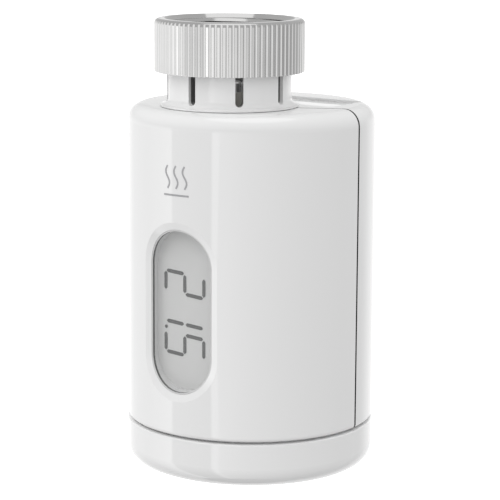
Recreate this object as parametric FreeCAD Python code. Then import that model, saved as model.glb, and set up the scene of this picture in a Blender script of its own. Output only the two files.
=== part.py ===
import FreeCAD, Part
import math
import os

# Thermostatic radiator valve head with a display, a control dial and an M30 x 1.5 union nut.
# Millimetres. Origin: centre of the dial's flat bottom. +Z runs to the union nut, -Y to the display.

V = FreeCAD.Vector
EPS = 0.05                      # clearance between fixed pieces that fit into each other
RUN = 0.06                      # radial clearance of a shaft that turns or slides in its hole

# --- casing ---------------------------------------------------------------------------
BODY_R = 29.4                   # outer radius of the casing
WALL = 1.8
CASE_Z0, CASE_Z1 = 11.1, 86.3   # bottom edge and top face
TOP_WALL = 2.0
TOP_ROUND, FOOT_ROUND = 4.0, 1.0
SEAM_Y = 1.35                   # plane between the front shell and the battery cover
SEAM_GAP = 0.6
RIM_X = 24.8                    # where the seam leaves that plane on the top face
NOTCH_X, NOTCH_Y = 14.0, -4.36  # end of the slanted stretch of the seam, under the collar's foot
SEAT_R = 14.9                   # round seat of the collar, part of the front shell
LIP_R0, LIP_R1 = 26.6, 27.3     # lip of the front shell behind the seam
LIP_Y0, LIP_Y1 = -1.2, 3.8
LIP_Z0, LIP_Z1 = 14.6, 80.5
RAMP_Y0, RAMP_Y1 = 3.0, 17.0    # finger recess on top of the battery cover
RAMP_X, RAMP_DEPTH = 20.5, 0.6
TONGUE_R0, TONGUE_R1 = 24.9, 26.2
TONGUE_H, TONGUE_Z = 9.0, (24.0, 46.0)
BASE_SCREW_X, BASE_SCREW_Y = 19.6, -12.8

# --- display --------------------------------------------------------------------------
WINDOW_W, WINDOW_H, WINDOW_Z = 17.4, 38.5, 40.3
BEVEL, BEVEL_DEPTH = 1.7, 0.7   # bevel round the window: across the wall, and into it
LENS_R = 28.6                   # curved front of the lens
LENS_BACK = -26.2
GASKET_LIP = 0.35
LCD_W, LCD_H = 19.6, 40.4
LCD_Y0, LCD_Y1 = -25.4, -23.2
HOLDER_W, HOLDER_H = 23.2, 42.4
HOLDER_SCREW_Z = (WINDOW_Z - 14.0, WINDOW_Z + 14.0)
HOLDER_SCREW_X = HOLDER_W / 2 + 1.6
BOARD_Y0, BOARD_Y1 = -20.5, -19.3
BOARD_W, BOARD_Z0, BOARD_Z1 = 35.0, 16.0, 60.5

# --- dial -----------------------------------------------------------------------------
DIAL_R, DIAL_H = 29.5, 10.6
DIAL_ROUND, DIAL_WALL, DIAL_FLOOR = 4.6, 1.8, 2.0
BOSS_R, BOSS_TOP = 5.0, 8.4
SHAFT_R, SHAFT_FLAT = 3.0, 1.5  # encoder shaft and the distance of its flat from the axis
SHAFT_Z0, SHAFT_Z1 = 2.4, 17.4
BASE_R, BASE_Z0, BASE_Z1 = 27.2, 12.0, 14.0
BUSH_R, BUSH_Z0 = 3.5, 9.2
ENCODER_W, ENCODER_Z0, ENCODER_Z1 = 12.0, 14.0, 20.5
PLUNGER_Z1 = 19.1

# --- collar and union nut ---------------------------------------------------------------
NUT_Y = -8.9                    # the collar and the nut stand forward of the casing's axis
COLLAR_R, COLLAR_BORE = 14.5, 12.0
COLLAR_FLOOR_Z0, COLLAR_FLOOR_Z1 = 82.3, 85.4
SPIGOT_R = 13.4
FOOT_R, FOOT_Z0, FOOT_EDGE, FLARE_R = 16.2, 86.4, 0.3, 1.7
FINGER_LIP_R, FINGER_LIP_Z0, FINGER_Z1 = 15.8, 96.1, 98.2
SLOTS, SLOT_W, SLOT_Z0 = 8, 1.9, 87.4
NUT_R, NUT_Z0, NUT_Z1 = 17.5, 94.3, 106.6
NUT_SHOULDER_R, NUT_GROOVE_R = 14.8, 16.2
GROOVE_Z0, GROOVE_Z1 = 95.9, 98.6
THREAD_R = 14.19                # minor radius of M30 x 1.5
THREAD_Z1, NUT_MOUTH_R = 105.55, 15.24
FLUTES, FLUTE_DEPTH, FLUTE_SHARE = 84, 0.22, 0.55

# --- gearbox ----------------------------------------------------------------------------
MODULE = 0.4
PINION_T, WHEEL_T, SMALL_T, SPINDLE_T = 10, 50, 12, 60
GEARBOX_R, GEARBOX_Y1, GEARBOX_WALL = 26.2, 8.4, 1.2
FLOOR_Z0, FLOOR_Z1 = 61.5, 63.0
MID_Z0, MID_Z1 = 69.6, 71.0
LID_Z0, LID_Z1 = 80.5, 82.3
POSTS = [(-23.0, 4.6), (23.0, 4.6), (-11.5, -21.0), (11.5, -21.0)]
POST_R = 1.9
AXLE_R = 0.75
HUB_R, HUB_Z0, HUB_Z1 = 6.0, 71.65, 82.0
PIN_R, PIN_FLAT = 3.62, 3.0     # pusher pin and the distance of its flats from the axis
PIN_Z0, PIN_FLAT_Z0, PIN_Z1, TIP_Z1 = 72.5, 77.6, 89.5, 92.0
COLLAR_SCREW_PCR = 9.2

# --- motor ------------------------------------------------------------------------------
MOTOR_R, MOTOR_Z0 = 7.7, 41.0
MOTOR_SHAFT_R = 1.0

# --- batteries --------------------------------------------------------------------------
CELL_R, CELL_L, CELL_X, CELL_Y, CELL_Z0 = 7.1, 50.5, 7.4, 17.2, 18.5
NUB_R, NUB_L = 2.75, 1.0
TRAY_X, TRAY_Y0, TRAY_Y1 = 15.6, 8.6, 17.2
TRAY_Z0, TRAY_Z1, TRAY_END = 14.0, 72.4, 1.6
TRAY_FOOT_X, TRAY_FOOT_Y, TRAY_FOOT_H = 17.9, 12.2, 8.0


def polar(x, y, radius, degrees):
    """Point at a distance and an angle from (x, y)."""
    a = math.radians(degrees)
    return x + radius * math.cos(a), y + radius * math.sin(a)


MESH = MODULE * (PINION_T + WHEEL_T) / 2
SPINDLE_MESH = MODULE * (SMALL_T + SPINDLE_T) / 2
SPINDLE_ANGLE, SECOND_ANGLE, FIRST_ANGLE = 22.0, 193.5, 167.0
SECOND_X, SECOND_Y = polar(0.0, NUT_Y, SPINDLE_MESH, SPINDLE_ANGLE)
FIRST_X, FIRST_Y = polar(SECOND_X, SECOND_Y, MESH, SECOND_ANGLE)
MOTOR_X, MOTOR_Y = polar(FIRST_X, FIRST_Y, MESH, FIRST_ANGLE)


# --- helpers ----------------------------------------------------------------------------
def cyl(r, z0, z1, x=0.0, y=0.0):
    return Part.makeCylinder(r, z1 - z0, V(x, y, z0))


def rod_y(r, y0, y1, x, z):
    return Part.makeCylinder(r, y1 - y0, V(x, y0, z), V(0, 1, 0))


def tube(r_out, r_in, z0, z1, x=0.0, y=0.0):
    return cyl(r_out, z0, z1, x, y).cut(cyl(r_in, z0 - 1, z1 + 1, x, y))


def box(x0, x1, y0, y1, z0, z1):
    return Part.makeBox(x1 - x0, y1 - y0, z1 - z0, V(x0, y0, z0))


def union(*shapes):
    return shapes[0].fuse(list(shapes[1:])).removeSplitter()


def group(shapes):
    return Part.makeCompound(shapes)


def mirrored_pair(shape):
    return [shape, shape.mirror(V(0, 0, 0), V(1, 0, 0))]


def turned(outline, y=0.0):
    """Solid of revolution about the vertical line x = 0, from a closed list of (radius, z)."""
    points = [V(r, y, z) for r, z in outline]
    face = Part.Face(Part.makePolygon(points + points[:1]))
    return face.revolve(V(0, y, 0), V(0, 0, 1), 360)


def prism(outline, z0, z1):
    """Upright prism over a closed list of (x, y)."""
    points = [V(x, y, z0) for x, y in outline]
    face = Part.Face(Part.makePolygon(points + points[:1]))
    return face.extrude(V(0, 0, z1 - z0))


def round_circle(shape, radius, edge_r, edge_z):
    """Round the circular edges of one radius at one height."""
    edges = []
    for edge in shape.Edges:
        curve = edge.Curve
        if isinstance(curve, Part.Circle):
            if abs(curve.Radius - edge_r) < 1e-4 and abs(curve.Center.z - edge_z) < 1e-4:
                edges.append(edge)
    return shape.makeFillet(radius, edges)


def stadium(width, height, y0, y1, z):
    """Upright slot shape with round ends, facing along Y."""
    r = width / 2
    half = height / 2 - r
    left, right = V(-r, y0, z + half), V(r, y0, z + half)
    low_left, low_right = V(-r, y0, z - half), V(r, y0, z - half)
    edges = [
        Part.Arc(left, V(0, y0, z + half + r), right).toShape(),
        Part.LineSegment(right, low_right).toShape(),
        Part.Arc(low_right, V(0, y0, z - half - r), low_left).toShape(),
        Part.LineSegment(low_left, left).toShape(),
    ]
    return Part.Face(Part.Wire(edges)).extrude(V(0, y1 - y0, 0))


def pan_screw(x, y, z_seat, length, up, head_r=1.8, head_h=1.2, shank_r=1.0):
    """Pan-head screw with a cross recess, on a seat at z_seat. The shank runs up or down from it."""
    way = 1 if up else -1
    tip, top, floor = z_seat + way * length, z_seat - way * head_h, z_seat - way * (head_h - 0.6)
    shank = cyl(shank_r, min(z_seat, tip), max(z_seat, tip), x, y)
    head = cyl(head_r, min(z_seat, top), max(z_seat, top), x, y)
    beyond = top - way
    recess = box(x - 0.9, x + 0.9, y - 0.25, y + 0.25, min(floor, beyond), max(floor, beyond))
    cross = recess.copy()
    cross.rotate(V(x, y, 0), V(0, 0, 1), 90)
    return union(shank, head).cut(recess).cut(cross)


def involute(angle):
    return math.tan(angle) - angle


def gear(teeth, z0, z1, x, y, bore, tooth_at):
    """Spur gear with involute flanks. tooth_at is the direction of one tooth, in degrees."""
    pressure = math.radians(20)
    pitch_r = MODULE * teeth / 2
    base_r = pitch_r * math.cos(pressure)
    tip_r = pitch_r + 0.62 * MODULE
    root_r = pitch_r - 0.95 * MODULE
    half_tooth = (math.pi * MODULE / 2 - 0.11) / 2 / pitch_r
    flank = []
    for i in range(5):
        r = max(base_r, root_r) + (tip_r - max(base_r, root_r)) * i / 4
        turn = half_tooth + involute(pressure) - involute(math.acos(min(1.0, base_r / r)))
        flank.append((r, turn))
    if base_r > root_r:
        flank.insert(0, (root_r, flank[0][1]))
    outline = []
    for i in range(teeth):
        middle = math.radians(tooth_at) + 2 * math.pi * i / teeth
        for r, turn in flank:
            outline.append((x + r * math.cos(middle - turn), y + r * math.sin(middle - turn)))
        for r, turn in reversed(flank):
            outline.append((x + r * math.cos(middle + turn), y + r * math.sin(middle + turn)))
    return prism(outline, z0, z1).cut(cyl(bore, z0 - 1, z1 + 1, x, y))


# --- casing -------------------------------------------------------------------------------
def casing():
    outer = cyl(BODY_R, CASE_Z0, CASE_Z1)
    outer = round_circle(outer, TOP_ROUND, BODY_R, CASE_Z1)
    outer = round_circle(outer, FOOT_ROUND, BODY_R, CASE_Z0)
    inner_r, inner_top = BODY_R - WALL, CASE_Z1 - TOP_WALL
    inner = round_circle(cyl(inner_r, CASE_Z0 - 1, inner_top), 2.6, inner_r, inner_top)
    return outer.cut(inner)


def seam_region(shift):
    """Everything in front of the seam, moved back by shift."""
    reach = 40.0
    split_z = CASE_Z1 - TOP_ROUND
    y = SEAM_Y + shift
    notch_y = NOTCH_Y + shift
    low = box(-reach, reach, -reach, y, CASE_Z0 - 1, split_z)
    path = [(-reach, y), (-RIM_X, y), (-NOTCH_X, notch_y), (NOTCH_X, notch_y), (RIM_X, y), (reach, y)]
    high = prism(path + [(reach, -reach), (-reach, -reach)], split_z, CASE_Z1 + 1)
    seat = cyl(SEAT_R + shift, split_z, CASE_Z1 + 1, 0, NUT_Y)
    return low.fuse([high, seat])


def cut_window(shell):
    """Cut the display window, then bevel its outer edge."""
    shell = shell.cut(stadium(WINDOW_W, WINDOW_H, -BODY_R - 1, -20.0, WINDOW_Z))
    rim = []
    for edge in shell.Edges:
        points = edge.discretize(9)
        on_wall = all(abs(math.hypot(p.x, p.y) - BODY_R) < 1e-3 for p in points)
        by_window = all(abs(p.x) < WINDOW_W / 2 + 1e-3 and p.y < 0 for p in points)
        in_height = all(abs(p.z - WINDOW_Z) < WINDOW_H / 2 + 1e-3 for p in points)
        if on_wall and by_window and in_height:
            rim.append(edge)
    return shell.makeChamfer(BEVEL_DEPTH, BEVEL, rim)


def front_shell():
    shell = casing().common(seam_region(-SEAM_GAP / 2))
    boss = union(cyl(2.2, BASE_Z1, 24.0, BASE_SCREW_X, BASE_SCREW_Y), boss_web())
    shell = union(shell, *mirrored_pair(seam_lip()), *mirrored_pair(boss))
    for x in (-BASE_SCREW_X, BASE_SCREW_X):
        shell = shell.cut(cyl(1.0 + EPS, BASE_Z1 - 1, 21.0, x, BASE_SCREW_Y))
    shell = shell.cut(cyl(SPIGOT_R + 0.2, CASE_Z1 - 5, CASE_Z1 + 1, 0, NUT_Y))
    return cut_window(shell)


def seam_lip():
    """Lip that closes the seam from behind, with a root that joins it to the wall."""
    reach = box(20, 30, LIP_Y0, LIP_Y1, LIP_Z0, LIP_Z1)
    root = box(20, 30, LIP_Y0, SEAM_Y - SEAM_GAP, LIP_Z0, LIP_Z1)
    lip = tube(LIP_R1, LIP_R0, LIP_Z0, LIP_Z1).common(reach)
    return lip.fuse(tube(LIP_R1 + 0.8, LIP_R0, LIP_Z0, LIP_Z1).common(root))


def boss_web():
    """Web from the screw boss to the wall."""
    length = BODY_R - 0.6 - math.hypot(BASE_SCREW_X, BASE_SCREW_Y)
    web = box(0, length, -0.8, 0.8, BASE_Z1, 24.0)
    web.rotate(V(0, 0, 0), V(0, 0, 1), math.degrees(math.atan2(BASE_SCREW_Y, BASE_SCREW_X)))
    web.translate(V(BASE_SCREW_X, BASE_SCREW_Y, 0))
    return web


def battery_cover():
    cover = casing().cut(seam_region(SEAM_GAP / 2))
    ramp = prism([(RAMP_Y0, 0), (RAMP_Y1, 0), (RAMP_Y1, -RAMP_DEPTH)], 0, 2 * RAMP_X)
    ramp.rotate(V(0, 0, 0), V(1, 1, 1), 120)
    ramp.translate(V(-RAMP_X, 0, CASE_Z1))
    cover = cover.cut(ramp)
    tongues = []
    for z0 in TONGUE_Z:
        z1 = z0 + TONGUE_H
        tongue = tube(TONGUE_R1, TONGUE_R0, z0, z1).common(box(15, 30, -3.0, 6.0, z0, z1))
        root = tube(BODY_R - 1, TONGUE_R0, z0, z1).common(box(15, 30, LIP_Y1 + 0.6, 8.0, z0, z1))
        tongues += mirrored_pair(tongue.fuse(root))
    return union(cover, *tongues)


# --- display --------------------------------------------------------------------------------
def display_lens():
    inset = 2 * (GASKET_LIP + EPS)
    block = stadium(WINDOW_W - inset, WINDOW_H - inset, -BODY_R, LENS_BACK, WINDOW_Z)
    return block.common(cyl(LENS_R, 0, CASE_Z1))


def lens_gasket():
    lip = stadium(WINDOW_W - 2 * EPS, WINDOW_H - 2 * EPS, -BODY_R, LENS_BACK, WINDOW_Z)
    lip = lip.common(cyl(LENS_R, 0, CASE_Z1))
    seat = stadium(LCD_W, LCD_H, LENS_BACK, LCD_Y0, WINDOW_Z).common(cyl(BODY_R - WALL - EPS, 0, CASE_Z1))
    inset = 2 * GASKET_LIP
    opening = stadium(WINDOW_W - inset, WINDOW_H - inset, -BODY_R - 1, LCD_Y0 + 1, WINDOW_Z)
    return union(lip, seat).cut(opening)


def lcd_panel():
    half_w, z0 = LCD_W / 2, WINDOW_Z - LCD_H / 2
    glass = box(-half_w, half_w, LCD_Y0, LCD_Y1, z0, z0 + LCD_H)
    ledge = box(-half_w - 1, half_w + 1, LCD_Y0 - 1, LCD_Y0 + 1.1, z0 - 1, z0 + 0.25)
    return glass.cut(ledge)


def holder_screw_places():
    return [(x, z) for z in HOLDER_SCREW_Z for x in (-HOLDER_SCREW_X, HOLDER_SCREW_X)]


def holder_ear(x, z):
    """Screw ear of the holder, with a web to its frame."""
    toward = x - math.copysign(1.8, x)
    ear = rod_y(1.6, BOARD_Y0 - 2.6, BOARD_Y0, x, z)
    return ear.fuse(box(min(x, toward), max(x, toward), BOARD_Y0 - 2.6, BOARD_Y0, z - 1.2, z + 1.2))


def lcd_holder():
    half_w, half_h = HOLDER_W / 2, HOLDER_H / 2
    y0 = LCD_Y0 + 0.6
    frame = box(-half_w, half_w, y0, BOARD_Y0, WINDOW_Z - half_h, WINDOW_Z + half_h)
    in_w, in_h = LCD_W / 2 + EPS, LCD_H / 2 + EPS
    frame = frame.cut(box(-in_w, in_w, y0 - 1, BOARD_Y0 + 1, WINDOW_Z - in_h, WINDOW_Z + in_h))
    frame = union(frame, *[holder_ear(x, z) for x, z in holder_screw_places()])
    for x, z in holder_screw_places():
        frame = frame.cut(rod_y(0.8 + EPS, BOARD_Y0 - 2.4, BOARD_Y0 + 1, x, z))
    return frame


def lcd_backlight():
    half_w, half_h = LCD_W / 2 - 0.3, LCD_H / 2 - 3.2
    return box(-half_w, half_w, LCD_Y1 + 0.05, LCD_Y1 + 1.8, WINDOW_Z - half_h, WINDOW_Z + half_h)


def connector_strips():
    half_w = LCD_W / 2 - 0.6
    strips = []
    for side in (-1, 1):
        z = WINDOW_Z + side * (LCD_H / 2 - 1.6)
        strips.append(box(-half_w, half_w, LCD_Y1, BOARD_Y0, z - 1.0, z + 1.0))
    return group(strips)


def main_board():
    half_w = BOARD_W / 2
    board = box(-half_w, half_w, BOARD_Y0, BOARD_Y1, BOARD_Z0, BOARD_Z1)
    for x, z in holder_screw_places():
        board = board.cut(rod_y(1.0, BOARD_Y0 - 1, BOARD_Y1 + 1, x, z))
    return board


def board_screws():
    screws = []
    for x, z in holder_screw_places():
        shank = rod_y(0.8, BOARD_Y1 - 3.2, BOARD_Y1, x, z)
        head = rod_y(1.5, BOARD_Y1, BOARD_Y1 + 1.0, x, z)
        slot = box(x - 0.2, x + 0.2, BOARD_Y1 + 0.5, BOARD_Y1 + 2, z - 1.1, z + 1.1)
        screws.append(union(shank, head).cut(slot))
    return group(screws)


def radio_module():
    substrate = box(-10.8, 4.0, BOARD_Y1, BOARD_Y1 + 0.8, 44.5, 57.5)
    shield = box(-10.0, 0.5, BOARD_Y1 + 0.8, BOARD_Y1 + 2.6, 45.5, 56.5)
    return union(substrate, shield)


def board_components():
    y = BOARD_Y1
    parts = [
        box(-3.5, 3.5, y, y + 1.0, 28.0, 35.0),
        box(6.0, 11.0, y, y + 1.5, 27.5, 31.5),
        box(5.5, 10.5, y, y + 1.2, 45.0, 49.0),
        rod_y(2.0, y, y + 5.4, 13.6, 38.0),
        box(-10.0, -7.5, y, y + 1.4, 20.0, 23.5),
        box(-15.5, -12.5, y, y + 1.0, 33.5, 36.5),
    ]
    for i in range(5):
        z = 19.0 + 2.4 * i
        parts.append(box(1.0, 2.0, y, y + 0.6, z, z + 0.5))
        parts.append(box(4.0, 5.0, y, y + 0.6, z, z + 0.5))
    return group(parts)


# --- dial and encoder -------------------------------------------------------------------------
def d_section(r, flat, z0, z1):
    """Round bar with one flat on its +Y side."""
    return cyl(r, z0, z1).cut(box(-r - 1, r + 1, flat, r + 1, z0 - 1, z1 + 1))


def dial_cap():
    outer = round_circle(cyl(DIAL_R, 0, DIAL_H), DIAL_ROUND, DIAL_R, 0)
    outer = round_circle(outer, 0.25, DIAL_R, DIAL_H)
    inner_r = DIAL_R - DIAL_WALL
    inner = round_circle(cyl(inner_r, DIAL_FLOOR, DIAL_H + 1), 3.0, inner_r, DIAL_FLOOR)
    cup = outer.cut(inner)
    ribs = []
    for i in range(8):
        rib = box(BOSS_R - 1, inner_r - 2.0, -0.5, 0.5, DIAL_FLOOR - 0.5, DIAL_FLOOR + 1.6)
        rib.rotate(V(0, 0, 0), V(0, 0, 1), 45 * i + 22.5)
        ribs.append(rib)
    cup = union(cup, cyl(BOSS_R, DIAL_FLOOR - 0.5, BOSS_TOP), *ribs)
    return cup.cut(d_section(SHAFT_R + EPS, SHAFT_FLAT + EPS, SHAFT_Z0, BOSS_TOP + 1))


def dial_guide_ring():
    return tube(BASE_R - 0.2, BASE_R - 1.2, 6.5, BASE_Z0)


def base_plate():
    plate = cyl(BASE_R, BASE_Z0, BASE_Z1).cut(cyl(BUSH_R + EPS, BASE_Z0 - 1, BASE_Z1 + 1))
    for x, y in base_screw_places():
        plate = plate.cut(cyl(1.15, BASE_Z0 - 1, BASE_Z1 + 1, x, y))
    return plate


def base_screw_places():
    front = [(-BASE_SCREW_X, BASE_SCREW_Y), (BASE_SCREW_X, BASE_SCREW_Y)]
    rear = [(-TRAY_FOOT_X, TRAY_FOOT_Y), (TRAY_FOOT_X, TRAY_FOOT_Y)]
    return front + rear


def base_screws():
    return group([pan_screw(x, y, BASE_Z0, 6.5, True) for x, y in base_screw_places()])


def encoder_body():
    half = ENCODER_W / 2
    body = box(-half, half, -half, half, ENCODER_Z0, ENCODER_Z1)
    body = union(body, cyl(BUSH_R, BUSH_Z0, ENCODER_Z0 + 1))
    body = body.cut(cyl(SHAFT_R + RUN, BUSH_Z0 - 1, SHAFT_Z1))
    return body.cut(cyl(SHAFT_R + 0.3, SHAFT_Z1, PLUNGER_Z1 + 0.7))


def encoder_shaft():
    lower = d_section(SHAFT_R, SHAFT_FLAT, SHAFT_Z0 + EPS, BOSS_TOP + 0.6)
    return union(lower, cyl(SHAFT_R, BOSS_TOP + 0.6, SHAFT_Z1))


def encoder_plunger():
    return cyl(SHAFT_R + 0.2, SHAFT_Z1 + EPS, PLUNGER_Z1)


def encoder_nut():
    corners = [polar(0, 0, 5.0 / math.cos(math.radians(30)), 60 * i) for i in range(6)]
    return prism(corners, BASE_Z0 - 1.8, BASE_Z0).cut(cyl(BUSH_R + EPS, 0, BASE_Z1))


def encoder_board():
    return box(-9.0, 9.0, -13.0, 7.0, ENCODER_Z1, ENCODER_Z1 + 1.6)


# --- collar and nut ---------------------------------------------------------------------------
def pin_section(r, flat, z0, z1):
    """Round bar about the nut's axis with a flat on each side."""
    return cyl(r, z0, z1, 0, NUT_Y).common(box(-flat, flat, NUT_Y - 9, NUT_Y + 9, z0, z1))


def collar():
    foot_top = FOOT_Z0 + FOOT_EDGE
    outline = [
        (0.0, COLLAR_FLOOR_Z0), (SPIGOT_R, COLLAR_FLOOR_Z0), (SPIGOT_R, CASE_Z1),
        (SEAT_R - 0.1, CASE_Z1), (SEAT_R - 0.1, FOOT_Z0), (FOOT_R, FOOT_Z0), (FOOT_R, foot_top),
    ]
    for i in range(1, 9):
        a = math.radians(90 * i / 8)
        outline.append((FOOT_R - FLARE_R * math.sin(a), foot_top + FLARE_R * (1 - math.cos(a))))
    outline += [
        (COLLAR_R, foot_top + FLARE_R + 0.2), (COLLAR_R, FINGER_LIP_Z0), (FINGER_LIP_R, FINGER_LIP_Z0),
        (FINGER_LIP_R, FINGER_Z1 - 1.2), (COLLAR_R, FINGER_Z1), (COLLAR_BORE, FINGER_Z1),
        (COLLAR_BORE, COLLAR_FLOOR_Z1), (0.0, COLLAR_FLOOR_Z1),
    ]
    body = turned(outline, NUT_Y)
    slot_r = SLOT_W / 2
    slot = box(COLLAR_BORE - 1, FOOT_R + 1, -slot_r, slot_r, SLOT_Z0 + slot_r, FINGER_Z1 + 1)
    slot_foot = V(COLLAR_BORE - 1, 0, SLOT_Z0 + slot_r)
    slot = slot.fuse(Part.makeCylinder(slot_r, FOOT_R - COLLAR_BORE + 2, slot_foot, V(1, 0, 0)))
    for i in range(SLOTS):
        cutter = slot.copy()
        cutter.rotate(V(0, 0, 0), V(0, 0, 1), 360 * i / SLOTS - 90)
        cutter.translate(V(0, NUT_Y, 0))
        body = body.cut(cutter)
    body = body.cut(pin_section(PIN_R + RUN, PIN_FLAT + RUN, COLLAR_FLOOR_Z0 - 1, COLLAR_FLOOR_Z1 + 1))
    for x, y in collar_screw_places():
        body = body.cut(cyl(1.0 + EPS, COLLAR_FLOOR_Z0 - 1, COLLAR_FLOOR_Z1 - 0.5, x, y))
    return body


def collar_screw_places():
    return [polar(0, NUT_Y, COLLAR_SCREW_PCR, 90 + 120 * i) for i in range(3)]


def collar_screws():
    return group([pan_screw(x, y, LID_Z0, 4.2, True) for x, y in collar_screw_places()])


def on_nut(radius, angle):
    """Point about the nut's axis on its lower plane."""
    x, y = polar(0, NUT_Y, radius, math.degrees(angle))
    return V(x, y, NUT_Z0)


def fluted_bar():
    """Round bar with shallow round flutes all round, and a narrow land between each two."""
    pitch = 2 * math.pi / FLUTES
    half = FLUTE_SHARE * pitch / 2
    edges = []
    for i in range(FLUTES):
        a = pitch * i
        start, low, end = on_nut(NUT_R, a - half), on_nut(NUT_R - FLUTE_DEPTH, a), on_nut(NUT_R, a + half)
        edges.append(Part.Arc(start, low, end).toShape())
        edges.append(Part.LineSegment(end, on_nut(NUT_R, a + pitch - half)).toShape())
    return Part.Face(Part.Wire(edges)).extrude(V(0, 0, NUT_Z1 - NUT_Z0))


def union_nut():
    blank = round_circle(cyl(NUT_R, NUT_Z0, NUT_Z1, 0, NUT_Y), 1.1, NUT_R, NUT_Z1)
    blank = round_circle(blank, 0.3, NUT_R, NUT_Z0)
    bore = turned([
        (0.0, NUT_Z0 - 1), (NUT_SHOULDER_R, NUT_Z0 - 1), (NUT_SHOULDER_R, GROOVE_Z0),
        (NUT_GROOVE_R, GROOVE_Z0), (NUT_GROOVE_R, GROOVE_Z1), (THREAD_R, GROOVE_Z1),
        (THREAD_R, THREAD_Z1), (NUT_MOUTH_R, NUT_Z1), (NUT_MOUTH_R, NUT_Z1 + 1), (0.0, NUT_Z1 + 1),
    ], NUT_Y)
    return fluted_bar().common(blank).cut(bore)


# --- gearbox ------------------------------------------------------------------------------------
def gearbox_disc(r, y1, z0, z1):
    return cyl(r, z0, z1).common(box(-40, 40, -40, y1, z0, z1))


def gearbox_wall(z0, z1):
    inner = gearbox_disc(GEARBOX_R - GEARBOX_WALL, GEARBOX_Y1 - GEARBOX_WALL, z0 - 1, z1 + 1)
    wall = gearbox_disc(GEARBOX_R, GEARBOX_Y1, z0, z1).cut(inner)
    return union(wall, *[cyl(POST_R, z0, z1, x, y) for x, y in POSTS])


def drill_posts(shape, z0, z1, r):
    for x, y in POSTS:
        shape = shape.cut(cyl(r, z0, z1, x, y))
    return shape


def gearbox_base():
    base = union(gearbox_disc(GEARBOX_R, GEARBOX_Y1, FLOOR_Z0, FLOOR_Z1), gearbox_wall(FLOOR_Z1 - 0.5, MID_Z0))
    base = base.cut(cyl(3.0 + EPS, FLOOR_Z0 - 1, FLOOR_Z1 + 1, MOTOR_X, MOTOR_Y))
    for x, y in motor_screw_places():
        base = base.cut(cyl(0.9, FLOOR_Z0 - 1, FLOOR_Z1 + 1, x, y))
    for x, y in ((FIRST_X, FIRST_Y), (SECOND_X, SECOND_Y)):
        base = base.cut(cyl(AXLE_R + EPS, FLOOR_Z0 + 0.3, FLOOR_Z1 + 1, x, y))
    return drill_posts(base, FLOOR_Z0 + 2, MID_Z0 + 1, 1.0 + EPS)


def gearbox_mid_plate():
    plate = gearbox_disc(GEARBOX_R, GEARBOX_Y1, MID_Z0, MID_Z1)
    plate = plate.cut(cyl(3.3, MID_Z0 - 1, MID_Z1 + 1, SECOND_X, SECOND_Y))
    plate = plate.cut(cyl(AXLE_R + EPS, MID_Z0 - 1, MID_Z1 - 0.3, FIRST_X, FIRST_Y))
    return drill_posts(plate, MID_Z0 - 1, MID_Z1 + 1, 1.15)


def gearbox_cover():
    cover = union(gearbox_disc(GEARBOX_R, GEARBOX_Y1, LID_Z0, LID_Z1), gearbox_wall(MID_Z1, LID_Z0 + 0.5))
    cover = cover.cut(cyl(HUB_R + RUN, LID_Z0 - 1, LID_Z1 + 1, 0, NUT_Y))
    cover = cover.cut(cyl(AXLE_R + EPS, LID_Z0 - 1, LID_Z1 - 0.3, SECOND_X, SECOND_Y))
    for x, y in collar_screw_places():
        cover = cover.cut(cyl(1.15, LID_Z0 - 1, LID_Z1 + 1, x, y))
    return drill_posts(cover, MID_Z1 - 1, LID_Z1 + 1, 1.15)


def gearbox_screws():
    return group([pan_screw(x, y, LID_Z1, 17.0, False) for x, y in POSTS])


def gear_axles():
    first = cyl(AXLE_R, FLOOR_Z0 + 0.35, MID_Z1 - 0.35, FIRST_X, FIRST_Y)
    second = cyl(AXLE_R, FLOOR_Z0 + 0.35, LID_Z1 - 0.35, SECOND_X, SECOND_Y)
    return group([first, second])


def compound_gear(x, y, small_teeth, z_wheel, small_z1, wheel_tooth_at, small_tooth_at, hub_z1):
    """Wheel with a smaller gear on top of it, and a hub that spaces it off the floor."""
    bore = AXLE_R + RUN
    wheel = gear(WHEEL_T, z_wheel, z_wheel + 2.2, x, y, bore, wheel_tooth_at)
    small = gear(small_teeth, z_wheel + 2.0, small_z1, x, y, bore, small_tooth_at)
    hub = tube(1.3, bore, FLOOR_Z1 + 0.2, z_wheel + 1.0, x, y)
    top = tube(1.3, bore, small_z1 - 0.5, hub_z1, x, y)
    return union(wheel, small, hub, top)


def first_compound_gear():
    """Its wheel meshes with the motor pinion, its small gear with the second wheel."""
    gap_at = FIRST_ANGLE + 180 / WHEEL_T
    return compound_gear(FIRST_X, FIRST_Y, PINION_T, 63.6, 69.0, gap_at, SECOND_ANGLE + 180, 69.3)


def second_compound_gear():
    """Its wheel meshes with the first gear, its small gear with the spindle gear."""
    gap_at = SECOND_ANGLE + 180 / WHEEL_T
    return compound_gear(SECOND_X, SECOND_Y, SMALL_T, 66.4, 77.0, gap_at, SPINDLE_ANGLE + 180, 80.2)


def motor_pinion():
    return gear(PINION_T, 63.4, 66.2, MOTOR_X, MOTOR_Y, MOTOR_SHAFT_R + 0.01, FIRST_ANGLE + 180)


def spindle_gear():
    wheel = gear(SPINDLE_T, 73.5, 76.5, 0, NUT_Y, PIN_R + RUN, SPINDLE_ANGLE + 180 / SPINDLE_T)
    return union(wheel, tube(HUB_R, PIN_R + RUN, HUB_Z0, HUB_Z1, 0, NUT_Y))


def thrust_washer():
    return tube(HUB_R + 0.6, PIN_R + 0.3, MID_Z1, HUB_Z0 - EPS, 0, NUT_Y)


def pusher_pin():
    lower = cyl(PIN_R, PIN_Z0, PIN_FLAT_Z0, 0, NUT_Y)
    upper = pin_section(PIN_R, PIN_FLAT, PIN_FLAT_Z0, PIN_Z1)
    return union(lower, upper).cut(cyl(1.5 + EPS, PIN_Z1 - 4.0, PIN_Z1 + 1, 0, NUT_Y))


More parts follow.
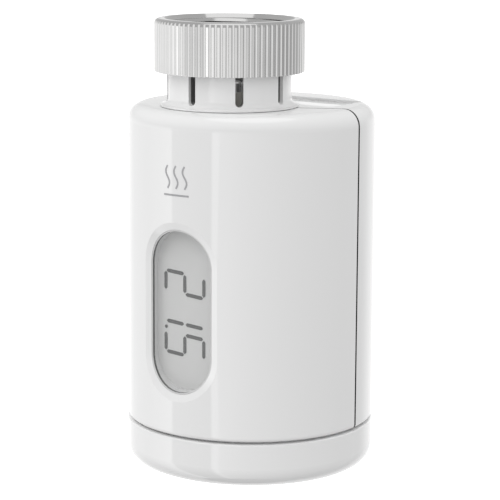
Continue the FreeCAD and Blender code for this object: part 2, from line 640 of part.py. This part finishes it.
def pusher_tip():
    head = turned([(0.0, PIN_Z1), (2.9, PIN_Z1), (2.9, TIP_Z1 - 0.4), (2.5, TIP_Z1), (0.0, TIP_Z1)], NUT_Y)
    return union(head, cyl(1.5, PIN_Z1 - 3.9, PIN_Z1 + 0.5, 0, NUT_Y))


# --- motor ------------------------------------------------------------------------------------
def motor_screw_places():
    return [polar(MOTOR_X, MOTOR_Y, 4.8, 90), polar(MOTOR_X, MOTOR_Y, 4.8, 270)]


def motor_screws():
    return group([pan_screw(x, y, FLOOR_Z1, 3.0, False, 1.2, 0.8, 0.8) for x, y in motor_screw_places()])


def motor_can():
    can = cyl(MOTOR_R, MOTOR_Z0, FLOOR_Z0, MOTOR_X, MOTOR_Y)
    can = round_circle(can, 0.8, MOTOR_R, FLOOR_Z0)
    can = union(can, cyl(3.0, FLOOR_Z0 - 1, FLOOR_Z1, MOTOR_X, MOTOR_Y))
    can = can.cut(cyl(MOTOR_SHAFT_R + RUN, MOTOR_Z0 - 1, FLOOR_Z1 + 1, MOTOR_X, MOTOR_Y))
    for x, y in motor_screw_places():
        can = can.cut(cyl(0.8 + EPS, FLOOR_Z0 - 2, FLOOR_Z0 + 1, x, y))
    return can


def motor_end_cap():
    cap = cyl(MOTOR_R - 0.3, MOTOR_Z0 - 2.0, MOTOR_Z0, MOTOR_X, MOTOR_Y)
    cap = union(cap, cyl(2.6, MOTOR_Z0 - 3.2, MOTOR_Z0 - 1.5, MOTOR_X, MOTOR_Y))
    return cap.cut(cyl(MOTOR_SHAFT_R + RUN, MOTOR_Z0 - 2.4, MOTOR_Z0 + 1, MOTOR_X, MOTOR_Y))


def motor_shaft():
    return cyl(MOTOR_SHAFT_R, MOTOR_Z0 - 2.2, 66.8, MOTOR_X, MOTOR_Y)


def motor_terminals():
    tabs = []
    for x in (MOTOR_X - 4.6, MOTOR_X + 4.6):
        tabs.append(box(x - 0.9, x + 0.9, MOTOR_Y - 2.2, MOTOR_Y - 1.8, MOTOR_Z0 - 4.6, MOTOR_Z0 - 2.0))
    return group(tabs)


def motor_leads():
    """Two straight insulated wires from the motor's tabs to the main board."""
    z = MOTOR_Z0 - 3.8
    return group([rod_y(0.55, BOARD_Y1, MOTOR_Y - 2.2, x, z) for x in (MOTOR_X - 4.6, MOTOR_X + 4.6)])


# --- batteries ----------------------------------------------------------------------------------
def battery_left():
    """Cell with its positive end up."""
    top = CELL_Z0 + CELL_L
    can = round_circle(cyl(CELL_R, CELL_Z0, top - NUB_L, -CELL_X, CELL_Y), 0.4, CELL_R, top - NUB_L)
    return union(can, cyl(NUB_R, top - NUB_L - 0.5, top, -CELL_X, CELL_Y))


def battery_right():
    """Cell with its positive end down."""
    top = CELL_Z0 + CELL_L
    can = round_circle(cyl(CELL_R, CELL_Z0 + NUB_L, top, CELL_X, CELL_Y), 0.4, CELL_R, CELL_Z0 + NUB_L)
    return union(can, cyl(NUB_R, CELL_Z0, CELL_Z0 + NUB_L + 0.5, CELL_X, CELL_Y))


def battery_tray():
    back = box(-TRAY_X, TRAY_X, TRAY_Y0, TRAY_Y1, TRAY_Z0, TRAY_Z1)
    ends = []
    for z0 in (TRAY_Z0, TRAY_Z1 - TRAY_END):
        ends.append(box(-TRAY_X, TRAY_X, TRAY_Y1 - 1, TRAY_Y1 + 4.4, z0, z0 + TRAY_END))
    foot_top = TRAY_Z0 + TRAY_FOOT_H
    foot = cyl(2.2, TRAY_Z0, foot_top, TRAY_FOOT_X, TRAY_FOOT_Y)
    web = box(TRAY_X - 0.5, TRAY_FOOT_X, TRAY_FOOT_Y - 2.2, TRAY_FOOT_Y + 2.2, TRAY_Z0, foot_top)
    tray = union(back, *ends, *mirrored_pair(foot.fuse(web)))
    z0, z1 = TRAY_Z0 + TRAY_END, TRAY_Z1 - TRAY_END
    for x in (-CELL_X, CELL_X):
        tray = tray.cut(cyl(CELL_R + 0.25, z0, z1, x, CELL_Y))
    tray = tray.cut(box(-2.0, 2.0, CELL_Y - 4.6, TRAY_Y1 + 1, z0, z1))
    for x in (-TRAY_FOOT_X, TRAY_FOOT_X):
        tray = tray.cut(cyl(1.0 + EPS, TRAY_Z0 - 1, foot_top - 1.0, x, TRAY_FOOT_Y))
    return tray


def contact_plate(x0, x1, z, up):
    """Sheet contact on one end wall of the tray."""
    t = 0.4
    z0 = z if up else z - t
    return box(x0, x1, CELL_Y - 4.5, CELL_Y + 3.0, z0, z0 + t)


def leaf(x, z_plate, z_cell):
    """Bent leaf that presses on the flat end of a cell."""
    t = 0.35 if z_cell > z_plate else -0.35
    profile = [(x - 4.0, z_plate), (x, z_cell), (x + 4.0, z_plate), (x + 3.0, z_plate), (x, z_cell - 1.3 * t),
               (x - 3.0, z_plate)]
    points = [V(px, CELL_Y - 2.5, pz) for px, pz in profile]
    return Part.Face(Part.makePolygon(points + points[:1])).extrude(V(0, 5.0, 0))


def contact_bridge():
    z = TRAY_Z1 - TRAY_END
    cell_top = CELL_Z0 + CELL_L
    plate = contact_plate(-11.5, 11.5, z, False)
    dimple = cyl(1.6, cell_top, z - 0.2, -CELL_X, CELL_Y)
    return union(plate, dimple, leaf(CELL_X, z - 0.4, cell_top))


def contact_positive():
    z = TRAY_Z0 + TRAY_END
    return union(contact_plate(2.5, 11.5, z, True), cyl(1.6, z + 0.2, CELL_Z0, CELL_X, CELL_Y))


def contact_negative():
    z = TRAY_Z0 + TRAY_END
    return union(contact_plate(-11.5, -2.5, z, True), leaf(-CELL_X, z + 0.4, CELL_Z0))


NODES = [
    front_shell, battery_cover, display_lens, lens_gasket, lcd_panel, lcd_holder, lcd_backlight,
    connector_strips, main_board, board_screws, radio_module, board_components,
    dial_cap, dial_guide_ring, base_plate, base_screws, encoder_body, encoder_shaft, encoder_plunger,
    encoder_nut, encoder_board, collar, collar_screws, union_nut, gearbox_base, gearbox_mid_plate,
    gearbox_cover, gearbox_screws, gear_axles, first_compound_gear, second_compound_gear, motor_pinion,
    spindle_gear, thrust_washer, pusher_pin, pusher_tip, motor_screws, motor_can, motor_end_cap,
    motor_shaft, motor_terminals, motor_leads, battery_left, battery_right, battery_tray,
    contact_bridge, contact_positive, contact_negative,
]

os.makedirs("parts", exist_ok=True)
for make in NODES:
    shape = make()
    shape.exportStep("parts/" + make.__name__ + ".step")
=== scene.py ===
"""Looks of a thermostatic radiator valve head: materials, digits, icon, thread, camera and light.

Metres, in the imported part's frame: origin under the dial, +Z to the union nut, -Y to the display.
"""
import math

import bmesh
import bpy
from mathutils import Matrix, Vector


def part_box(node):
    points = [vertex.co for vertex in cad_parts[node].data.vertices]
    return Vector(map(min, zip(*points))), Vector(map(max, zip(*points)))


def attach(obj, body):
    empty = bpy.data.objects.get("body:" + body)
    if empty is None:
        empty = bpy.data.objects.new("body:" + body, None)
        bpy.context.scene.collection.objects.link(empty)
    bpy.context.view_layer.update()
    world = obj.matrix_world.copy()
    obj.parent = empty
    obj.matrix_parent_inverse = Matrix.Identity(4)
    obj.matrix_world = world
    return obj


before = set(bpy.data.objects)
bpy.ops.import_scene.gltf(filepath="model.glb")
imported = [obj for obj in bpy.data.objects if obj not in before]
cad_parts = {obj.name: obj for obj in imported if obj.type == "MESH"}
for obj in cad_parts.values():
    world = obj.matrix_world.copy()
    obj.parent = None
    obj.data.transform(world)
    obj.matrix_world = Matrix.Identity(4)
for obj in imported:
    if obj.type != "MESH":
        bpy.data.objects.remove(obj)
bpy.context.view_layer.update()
MM = 0.001

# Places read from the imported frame
BODY_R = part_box("front_shell")[1][0]
LCD_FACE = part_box("lcd_panel")[0][1]
NUT_LO, NUT_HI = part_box("union_nut")
NUT_Y = (NUT_LO[1] + NUT_HI[1]) / 2


# --- node helpers ------------------------------------------------------------------------
def map_range(tree, value, start, end):
    """Map a value from the first range to the second, held at its ends."""
    node = tree.nodes.new("ShaderNodeMapRange")
    for name, number in zip(("From Min", "From Max", "To Min", "To Max"), start + end):
        node.inputs[name].default_value = number
    tree.links.new(value, node.inputs["Value"])
    return node.outputs["Result"]


class Material:
    """A Principled material with procedural colour, roughness and bump."""

    def __init__(self, name):
        self.material = bpy.data.materials.new(name)
        self.material.use_nodes = True
        self.tree = self.material.node_tree
        self.shader = self.tree.nodes["Principled BSDF"]
        self.height = None

    def node(self, kind, **settings):
        node = self.tree.nodes.new(kind)
        for key, value in settings.items():
            setattr(node, key, value)
        return node

    def link(self, source, target):
        self.tree.links.new(source, target)

    def set(self, **values):
        for key, value in values.items():
            self.shader.inputs[key.replace("_", " ")].default_value = value

    def position(self, scale=(1, 1, 1)):
        """Object coordinates in metres, stretched by scale."""
        mapping = self.node("ShaderNodeMapping")
        mapping.inputs["Scale"].default_value = scale
        self.link(self.node("ShaderNodeTexCoord").outputs["Object"], mapping.inputs["Vector"])
        return mapping.outputs["Vector"]

    def noise(self, scale, detail=3.0, stretch=(1, 1, 1)):
        noise = self.node("ShaderNodeTexNoise")
        noise.inputs["Scale"].default_value = scale
        noise.inputs["Detail"].default_value = detail
        self.link(self.position(stretch), noise.inputs["Vector"])
        return noise.outputs["Fac"]

    def math(self, operation, a, b=0.0, c=None):
        node = self.node("ShaderNodeMath", operation=operation)
        for socket, value in zip(node.inputs, (a, b) if c is None else (a, b, c)):
            if isinstance(value, (int, float)):
                socket.default_value = value
            else:
                self.link(value, socket)
        return node.outputs[0]

    def spread(self, value, low, high):
        """Map 0..1 to low..high."""
        return self.math("MULTIPLY_ADD", value, high - low, low)

    def mix(self, factor, first, second):
        """Run from first, a colour or a socket, to a second colour with factor."""
        mix = self.node("ShaderNodeMix", data_type="RGBA")
        if isinstance(first, tuple):
            mix.inputs["A"].default_value = (*first, 1)
        else:
            self.link(first, mix.inputs["A"])
        mix.inputs["B"].default_value = (*second, 1)
        self.link(factor, mix.inputs["Factor"])
        return mix.outputs["Result"]

    def colour(self, factor, first, second):
        """Base colour that runs from first to second with factor."""
        self.link(self.mix(factor, first, second), self.shader.inputs["Base Color"])

    def tint(self, factor, colour):
        """Run the base colour on to another colour with factor."""
        under = self.shader.inputs["Base Color"].links[0].from_socket
        self.colour(factor, under, colour)

    def roughness(self, factor, low, high):
        self.link(self.spread(factor, low, high), self.shader.inputs["Roughness"])

    def bump(self, height, distance):
        """Add a bump of that height in metres on top of any earlier one."""
        node = self.node("ShaderNodeBump")
        node.inputs["Strength"].default_value = 1.0
        node.inputs["Distance"].default_value = distance
        self.link(height, node.inputs["Height"])
        if self.height:
            self.link(self.height, node.inputs["Normal"])
        self.height = node.outputs["Normal"]
        self.link(self.height, self.shader.inputs["Normal"])

    def axis(self, index):
        split = self.node("ShaderNodeSeparateXYZ")
        self.link(self.position(), split.inputs[0])
        return split.outputs[index]

    def radius(self, centre_y):
        """Distance from a vertical axis at x = 0 and this y."""
        x, y = self.axis(0), self.math("SUBTRACT", self.axis(1), centre_y)
        squares = self.math("ADD", self.math("MULTIPLY", x, x), self.math("MULTIPLY", y, y))
        return self.math("SQRT", squares)


def shade(name, base, rough, metal=0.0, grain=900.0, bump=0.00001):
    """General material: two close tones, uneven roughness and a fine surface texture."""
    m = Material(name)
    light = tuple(min(1.0, c * 1.05 + 0.004) for c in base)
    dark = tuple(c * 0.93 for c in base)
    m.colour(m.noise(grain / 6), dark, light)
    m.roughness(m.noise(grain / 3), rough[0], rough[1])
    m.bump(m.noise(grain * 2, 2.0), bump)
    m.set(Metallic=metal)
    return m


def paint(node, m):
    """Give a CAD node's slots one material."""
    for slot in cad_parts[node].material_slots:
        slot.material = m.material


# --- materials ---------------------------------------------------------------------------
WHITE = (0.76, 0.76, 0.76)
# Tone of painted shade
PAINTED_SHADE_GREY = (0.05, 0.05, 0.05)
SEAM_X, SEAM_Y = (14.0 * MM, 24.8 * MM), (-4.36 * MM, 1.35 * MM)     # ends of its slanted stretch
SEAM_HALF = 0.31 * MM
DIAL_RIM_Z = 10.58 * MM
# Radius inside which the collar takes painted shade
COLLAR_SHADE_R = 13.6 * MM
GASKET_SHADE_RADII = (27.9 * MM, 28.55 * MM)          # radii between which the gasket's wall takes painted shade
THREAD_PITCH, THREAD_WALL_R = 1.5 * MM, 14.3 * MM     # the wall's radius, with a margin
THREAD_BUMP = 1.2 * MM


def gloss_white(name, painted_tone_mask, painted_tone=0.05, rough=(0.02, 0.04)):
    """Moulded white plastic, glossy as lacquer and hardly wavy, with another tone painted where the mask
    says: painted shade in hollows and painted light in a dim gap.
    """
    m = Material(name)
    m.colour(m.noise(40.0), tuple(c * 0.992 for c in WHITE), tuple(c * 1.008 for c in WHITE))
    # The masked surfaces take a painted tone: painted shade where it is darker, painted light where it is
    # lighter.
    m.tint(painted_tone_mask(m), (painted_tone,) * 3)
    m.roughness(m.noise(260.0, 4.0), *rough)
    m.bump(m.noise(120.0, 1.0), 0.000002)
    m.set(IOR=1.6, Specular_IOR_Level=1.0)
    return m


def seam_painted_shade(m):
    """The gap between the front shell and the battery cover, with its slanted stretch on the top, which takes
    painted shade.
    """
    seam_y = map_range(m.tree, m.math("ABSOLUTE", m.axis(0)), SEAM_X, SEAM_Y)
    away = m.math("ABSOLUTE", m.math("SUBTRACT", m.axis(1), seam_y))
    return m.math("LESS_THAN", away, SEAM_HALF)


def on_dial_rim(m):
    """The dial's top face, lighter to make up for the little light in the narrow gap above it."""
    return m.math("GREATER_THAN", m.axis(2), DIAL_RIM_Z)


def gasket_painted_shade(m):
    """The front part of the gasket's inner wall, behind its front face, which takes painted shade."""
    radius = m.radius(0.0)
    low, high = GASKET_SHADE_RADII
    return m.math("MULTIPLY", m.math("GREATER_THAN", radius, low), m.math("LESS_THAN", radius, high))


def nut_radius(m):
    """Distance from the collar's and the nut's axis."""
    return m.radius(NUT_Y)


def collar_painted_shade(m):
    """The collar's bore and the inner part of its slots, which take painted shade."""
    return m.math("LESS_THAN", nut_radius(m), COLLAR_SHADE_R)


def nickel():
    """Satin nickel plate with turning marks, and the thread's ridges inside the bore."""
    m = Material("nickel")
    m.colour(m.noise(180.0), (0.585, 0.583, 0.58), (0.645, 0.643, 0.64))
    m.roughness(m.noise(500.0, 4.0, (1, 1, 6)), 0.07, 0.13)
    m.bump(m.noise(900.0, 2.0, (1, 1, 8)), 0.000002)
    turn = m.math("ARCTAN2", m.math("SUBTRACT", m.axis(1), NUT_Y), m.axis(0))
    turn = m.math("DIVIDE", turn, 2 * math.pi)
    phase = m.math("SUBTRACT", m.math("DIVIDE", m.axis(2), THREAD_PITCH), turn)
    ridge = m.math("PINGPONG", phase, 0.5)
    in_bore = m.math("LESS_THAN", nut_radius(m), THREAD_WALL_R)
    m.bump(m.math("MULTIPLY", ridge, in_bore), THREAD_BUMP)
    m.set(Metallic=1.0)
    return m


def lens_clear():
    m = Material("lens_clear")
    m.roughness(m.noise(300.0), 0.02, 0.05)
    m.bump(m.noise(90.0, 1.0), 0.000002)
    m.set(Base_Color=(0.85, 0.87, 0.87, 1), Alpha=0.06, IOR=1.49)
    return m


def lcd_surface():
    """Reflective liquid crystal glass with a faint grain."""
    m = Material("lcd_surface")
    m.colour(m.noise(2500.0, 2.0), (0.56, 0.56, 0.557), (0.59, 0.59, 0.587))
    m.roughness(m.noise(600.0), 0.3, 0.42)
    m.bump(m.noise(4000.0, 1.0), 0.000006)
    return m


def printed_board(name):
    """Green solder mask over fine copper tracks."""
    m = Material(name)
    tracks = m.node("ShaderNodeTexVoronoi", feature="DISTANCE_TO_EDGE", distance="CHEBYCHEV")
    tracks.inputs["Scale"].default_value = 420.0
    m.link(m.position(), tracks.inputs["Vector"])
    line = m.math("LESS_THAN", tracks.outputs["Distance"], 0.08)
    m.colour(line, (0.01, 0.09, 0.04), (0.03, 0.2, 0.09))
    m.roughness(m.noise(700.0), 0.25, 0.4)
    m.bump(line, 0.00003)
    return m


def paint_everything():
    # The seam and the collar's bore take painted shade, the dial's rim painted light.
    paint("front_shell", gloss_white("front_white", seam_painted_shade))
    paint("battery_cover", gloss_white("cover_white", seam_painted_shade))
    paint("dial_cap", gloss_white("dial_white", on_dial_rim, 0.95))
    paint("collar", gloss_white("collar_white", collar_painted_shade, 0.12, (0.14, 0.2)))
    paint("union_nut", nickel())
    paint("display_lens", lens_clear())
    paint("lcd_panel", lcd_surface())
    gasket = shade("gasket_grey", (0.62, 0.62, 0.62), (0.45, 0.6), bump=0.00002)
    gasket.tint(gasket_painted_shade(gasket), PAINTED_SHADE_GREY)
    paint("lens_gasket", gasket)
    inner_white = shade("inner_white", (0.6, 0.6, 0.6), (0.4, 0.55), bump=0.00002)
    for node in ("lcd_holder", "base_plate", "battery_tray", "motor_end_cap", "encoder_plunger"):
        paint(node, inner_white)
    # The guide ring is lighter than the other inner parts: painted light for the little light that reaches
    # the groove.
    paint("dial_guide_ring", shade("ring_white_painted_light", (0.88, 0.88, 0.88), (0.4, 0.55), bump=0.00002))
    paint("lcd_backlight", shade("diffuser", (0.8, 0.8, 0.76), (0.5, 0.6)))
    paint("connector_strips", shade("silicone", (0.55, 0.4, 0.4), (0.5, 0.65), grain=3000.0))
    paint("main_board", printed_board("main_board_mask"))
    paint("encoder_board", printed_board("encoder_board_mask"))
    paint("board_components", shade("moulded_black", (0.03, 0.03, 0.032), (0.35, 0.55), bump=0.00003))
    dark = shade("dark_housing", (0.06, 0.06, 0.063), (0.4, 0.55), bump=0.00003)
    for node in ("gearbox_base", "gearbox_mid_plate", "gearbox_cover", "encoder_body"):
        paint(node, dark)
    steel = shade("steel", (0.6, 0.6, 0.6), (0.22, 0.38), 1.0, 1500.0, 0.000008)
    for node in ("board_screws", "base_screws", "gearbox_screws", "collar_screws", "motor_screws",
                 "encoder_shaft", "encoder_nut", "gear_axles", "motor_shaft", "thrust_washer",
                 "pusher_tip", "contact_bridge", "contact_positive", "contact_negative"):
        paint(node, steel)
    paint("motor_can", shade("zinc_plate", (0.5, 0.5, 0.52), (0.25, 0.4), 1.0, 700.0))
    paint("radio_module", shade("tin_plate", (0.62, 0.62, 0.63), (0.2, 0.35), 1.0, 900.0))
    brass = shade("brass", (0.7, 0.5, 0.22), (0.22, 0.35), 1.0, 1400.0)
    for node in ("motor_pinion", "motor_terminals"):
        paint(node, brass)
    acetal = shade("acetal", (0.72, 0.7, 0.64), (0.3, 0.42), bump=0.000015)
    for node in ("first_compound_gear", "second_compound_gear", "spindle_gear", "pusher_pin"):
        paint(node, acetal)
    paint("motor_leads", shade("wire_red", (0.42, 0.03, 0.03), (0.35, 0.5)))
    sleeve = shade("cell_sleeve", (0.2, 0.22, 0.25), (0.25, 0.35), 0.6, 500.0)
    for node in ("battery_left", "battery_right"):
        paint(node, sleeve)


# --- display digits ------------------------------------------------------------------------
# Characters run down the display, their tops towards +X. Sizes in millimetres.
CHAR_BASE_X, CHAR_TOP_X = -5.95, 5.0       # baseline and cap height
CHAR_W = 4.75                              # from centre to centre of the side strokes
STROKE = 0.88
SLANT = 0.07                               # lean of the characters
SEGMENT_GAP = 0.22
DIGIT_LIFT, DIGIT_THICK = 0.03, 0.04
POINT_X, POINT_Z, POINT_R, POINT_SIDES = CHAR_BASE_X + 0.1, 35.8, 0.42, 16
SEGMENTS = {
    "a": ((0, 1), (1, 1)), "b": ((1, 1), (1, 0.5)), "c": ((1, 0.5), (1, 0)), "d": ((0, 0), (1, 0)),
    "e": ((0, 0.5), (0, 0)), "f": ((0, 1), (0, 0.5)), "g": ((0, 0.5), (1, 0.5)),
}
DIGITS = {"2": "abged", "1": "bc", "5": "afgcd"}
READING = (("2", 49.15), ("1", 42.05), ("5", 34.75))     # each digit and the height where it starts


def segment_outline(start, end):
    """Six-sided bar between two points of the segment grid, in display millimetres."""
    a, b = Vector(start), Vector(end)
    along = (b - a).normalized()
    side = Vector((-along.y, along.x)) * STROKE / 2
    a, b = a + along * SEGMENT_GAP, b - along * SEGMENT_GAP
    tip = along * STROKE / 2
    return [a, a + tip + side, b - tip + side, b, b - tip - side, a + tip - side]


def flat_piece(name, outlines, depth, material, place):
    """Thin plates over closed 2-D outlines, put in place by a function of (u, v, lift)."""
    mesh = bmesh.new()
    for outline in outlines:
        low = [mesh.verts.new(place(p[0], p[1], 0.0)) for p in outline]
        high = [mesh.verts.new(place(p[0], p[1], depth)) for p in outline]
        mesh.faces.new(high)
        mesh.faces.new(low[::-1])
        for i in range(len(outline)):
            j = (i + 1) % len(outline)
            mesh.faces.new((low[i], low[j], high[j], high[i]))
    bmesh.ops.recalc_face_normals(mesh, faces=mesh.faces)
    data = bpy.data.meshes.new(name)
    mesh.to_mesh(data)
    mesh.free()
    piece = bpy.data.objects.new(name, data)
    bpy.context.collection.objects.link(piece)
    data.materials.append(material)
    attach(piece, "head")


def on_display(u, v, lift):
    """u is millimetres along X and v the height, on the LCD's face."""
    return Vector((u * MM, LCD_FACE - (DIGIT_LIFT + lift) * MM, v * MM))


def digit_segments():
    outlines = []
    height = CHAR_TOP_X - CHAR_BASE_X
    for digit, top_z in READING:
        for name in DIGITS[digit]:
            points = []
            for across, up in SEGMENTS[name]:
                x = CHAR_BASE_X + up * height
                points.append((x, top_z - across * CHAR_W - SLANT * up * height))
            outlines.append(segment_outline(*points))
    return outlines


def display_digits():
    ink = shade("lcd_ink", (0.06, 0.06, 0.06), (0.35, 0.5), grain=2500.0)
    outlines = digit_segments()
    turn = [2 * math.pi * i / POINT_SIDES for i in range(POINT_SIDES)]
    outlines.append([(POINT_X + POINT_R * math.cos(a), POINT_Z + POINT_R * math.sin(a)) for a in turn])
    flat_piece("display_digits", outlines, DIGIT_THICK, ink.material, on_display)


# --- icon on the casing --------------------------------------------------------------------
# Sizes in millimetres
ICON_LINE, ICON_LIFT, ICON_THICK = 0.42, 0.02, 0.02
ICON_STEPS = 24
WAVE_COLUMNS, WAVE_SWING = (-2.4, 0.0, 2.4), 0.55
WAVE_Z, WAVE_H = 69.1, 5.2
BAR_HALF, BAR_Z = 3.5, 67.6


def on_casing(u, v, lift):
    """u is millimetres round the casing from its front and v the height."""
    r = BODY_R + (ICON_LIFT + lift) * MM
    a = u * MM / BODY_R
    return Vector((r * math.sin(a), -r * math.cos(a), v * MM))


def band(points, width):
    """Four-sided outlines that together make a line of one width through 2-D points."""
    left, right = [], []
    for i, point in enumerate(points):
        before, after = points[max(i - 1, 0)], points[min(i + 1, len(points) - 1)]
        along = (Vector(after) - Vector(before)).normalized()
        side = Vector((-along.y, along.x)) * width / 2
        left.append(Vector(point) + side)
        right.append(Vector(point) - side)
    return [(left[i], left[i + 1], right[i + 1], right[i]) for i in range(len(points) - 1)]


def heat_icon():
    """Three rising waves over a short bar: a plain sign for heat."""
    grey = shade("icon_grey", (0.36, 0.36, 0.37), (0.3, 0.45))
    shares = [i / ICON_STEPS for i in range(ICON_STEPS + 1)]
    outlines = []
    for column in WAVE_COLUMNS:
        wave = [(column + WAVE_SWING * math.sin(2 * math.pi * s), WAVE_Z + WAVE_H * s) for s in shares]
        outlines += band(wave, ICON_LINE)
    outlines += band([(BAR_HALF * (2 * s - 1), BAR_Z) for s in shares], ICON_LINE)
    flat_piece("heat_icon", outlines, ICON_THICK, grey.material, on_casing)


# --- stage ---------------------------------------------------------------------------------
CAMERA_AZIMUTH = math.radians(35.5)
CAMERA_OUT, CAMERA_SIDE, CAMERA_Z = 0.49024, 0.0002, 0.14033
CAMERA_PITCH, CAMERA_ROLL = math.radians(10.357), 0.0052
FOCAL_LENGTH, SENSOR_WIDTH = 149.93, 36.0      # millimetres
WORLD_BELOW, WORLD_ABOVE, WORLD_BLEND = 0.58, 1.17, 0.3     # blend: sine of the elevation
KEY_WATTS, KEY_SIZE = 2.4, 0.8
KEY_AZIMUTH, KEY_OUT, KEY_Z = -80, 0.85, 0.8
KEY_AIM_Z = 80 * MM
FLOOR_R, FLOOR_Z = 6.0, -0.0002


def from_camera(azimuth):
    """Horizontal direction out of the object, turned from the camera's by degrees to the right."""
    a = CAMERA_AZIMUTH + math.radians(azimuth)
    return Vector((math.sin(a), -math.cos(a), 0))


def add_camera():
    data = bpy.data.cameras.new("camera")
    data.lens, data.sensor_width = FOCAL_LENGTH, SENSOR_WIDTH
    data.clip_start, data.clip_end = 0.01, 50.0
    camera = bpy.data.objects.new("camera", data)
    bpy.context.collection.objects.link(camera)
    right = Vector((math.cos(CAMERA_AZIMUTH), math.sin(CAMERA_AZIMUTH), 0))
    place = from_camera(0) * CAMERA_OUT - right * CAMERA_SIDE
    place.z = CAMERA_Z
    turn = Matrix.Rotation(CAMERA_AZIMUTH, 4, "Z") @ Matrix.Rotation(math.pi / 2 - CAMERA_PITCH, 4, "X")
    camera.matrix_world = Matrix.Translation(place) @ turn @ Matrix.Rotation(CAMERA_ROLL, 4, "Z")
    bpy.context.scene.camera = camera


def add_lights():
    """Even light from all round, weaker from below, and a large soft box to the upper left."""
    world = bpy.data.worlds.new("studio")
    bpy.context.scene.world = world
    world.use_nodes = True
    tree = world.node_tree
    background = tree.nodes["Background"]
    background.inputs["Color"].default_value = (1, 1, 1, 1)
    direction = tree.nodes.new("ShaderNodeTexCoord")
    split = tree.nodes.new("ShaderNodeSeparateXYZ")
    tree.links.new(direction.outputs["Generated"], split.inputs[0])
    level = map_range(tree, split.outputs["Z"], (-WORLD_BLEND, WORLD_BLEND), (WORLD_BELOW, WORLD_ABOVE))
    tree.links.new(level, background.inputs["Strength"])
    data = bpy.data.lights.new("key", "AREA")
    data.shape, data.size, data.energy = "DISK", KEY_SIZE, KEY_WATTS
    light = bpy.data.objects.new("key", data)
    bpy.context.collection.objects.link(light)
    light.location = from_camera(KEY_AZIMUTH) * KEY_OUT + Vector((0, 0, KEY_Z))
    aim = (Vector((0, 0, KEY_AIM_Z)) - light.location).to_track_quat("-Z", "Y")
    light.rotation_euler = aim.to_euler()
    light.visible_glossy = False


# Brightness of the reflected studio wall against the angle from the camera, in degrees to its right
WALL_STOPS = (
    (-180, 1.35), (-155, 1.35), (-135, 1.15), (-110, 1.2), (-90, 1.5), (-77.6, 1.75), (-76.6, 1.0),
    (-35.8, 0.95), (-35.0, 1.7), (-28.8, 1.7), (-28.0, 1.37), (0, 1.12), (30, 0.9), (60, 0.68),
    (92, 0.5), (124, 0.6), (140, 1.1), (155, 1.3), (180, 1.35),
)
WALL_R, WALL_H = 1.6, 8.0
WALL_PEAK = 2.0
WALL_TOP_GLOW, WALL_TOP_Z = 0.6, 0.35      # the soft boxes fade out up to this height


def add_reflected_wall():
    """Round wall of soft boxes that only reflections see, so that gloss has crisp edges."""
    bpy.ops.mesh.primitive_cylinder_add(vertices=180, radius=WALL_R, depth=WALL_H, end_fill_type="NOTHING")
    wall = bpy.context.object
    wall.name = "reflected_wall"
    wall.rotation_euler.z = CAMERA_AZIMUTH
    m = Material("wall_glow")
    angle = m.math("ARCTAN2", m.axis(0), m.math("MULTIPLY", m.axis(1), -1.0))
    ramp = m.node("ShaderNodeValToRGB")
    m.link(m.math("MULTIPLY_ADD", angle, 0.5 / math.pi, 0.5), ramp.inputs["Fac"])
    stops = ramp.color_ramp.elements
    while len(stops) < len(WALL_STOPS):
        stops.new(0.5)
    for stop, (degrees, glow) in zip(stops, WALL_STOPS):
        stop.position = (degrees + 180) / 360
        stop.color = (glow / WALL_PEAK,) * 3 + (1,)
    height = map_range(m.tree, m.axis(2), (0.0, WALL_TOP_Z), (0.0, 1.0))
    glow = m.mix(height, ramp.outputs["Color"], (WALL_TOP_GLOW / WALL_PEAK,) * 3)
    m.link(glow, m.shader.inputs["Emission Color"])
    m.set(Base_Color=(0, 0, 0, 1), Emission_Strength=WALL_PEAK, Specular_IOR_Level=0.0)
    wall.data.materials.append(m.material)
    wall.visible_camera = wall.visible_diffuse = wall.visible_transmission = wall.visible_shadow = False


def add_floor():
    """Pale floor that fills the view. It stays out of reflections, as on a light table."""
    bpy.ops.mesh.primitive_circle_add(vertices=96, radius=FLOOR_R, fill_type="NGON", location=(0, 0, FLOOR_Z))
    floor = bpy.context.object
    floor.name = "floor"
    m = Material("floor_white")
    m.colour(m.noise(3.0), (0.9, 0.9, 0.9), (0.92, 0.92, 0.92))
    m.set(Roughness=0.8, Emission_Color=(1, 1, 1, 1), Emission_Strength=0.8)
    m.bump(m.noise(60.0), 0.00002)
    floor.data.materials.append(m.material)
    floor.visible_glossy = floor.visible_diffuse = floor.visible_shadow = False


paint_everything()
display_digits()
heat_icon()
add_camera()
add_lights()
add_reflected_wall()
add_floor()
bpy.context.scene.view_settings.view_transform = "Standard"
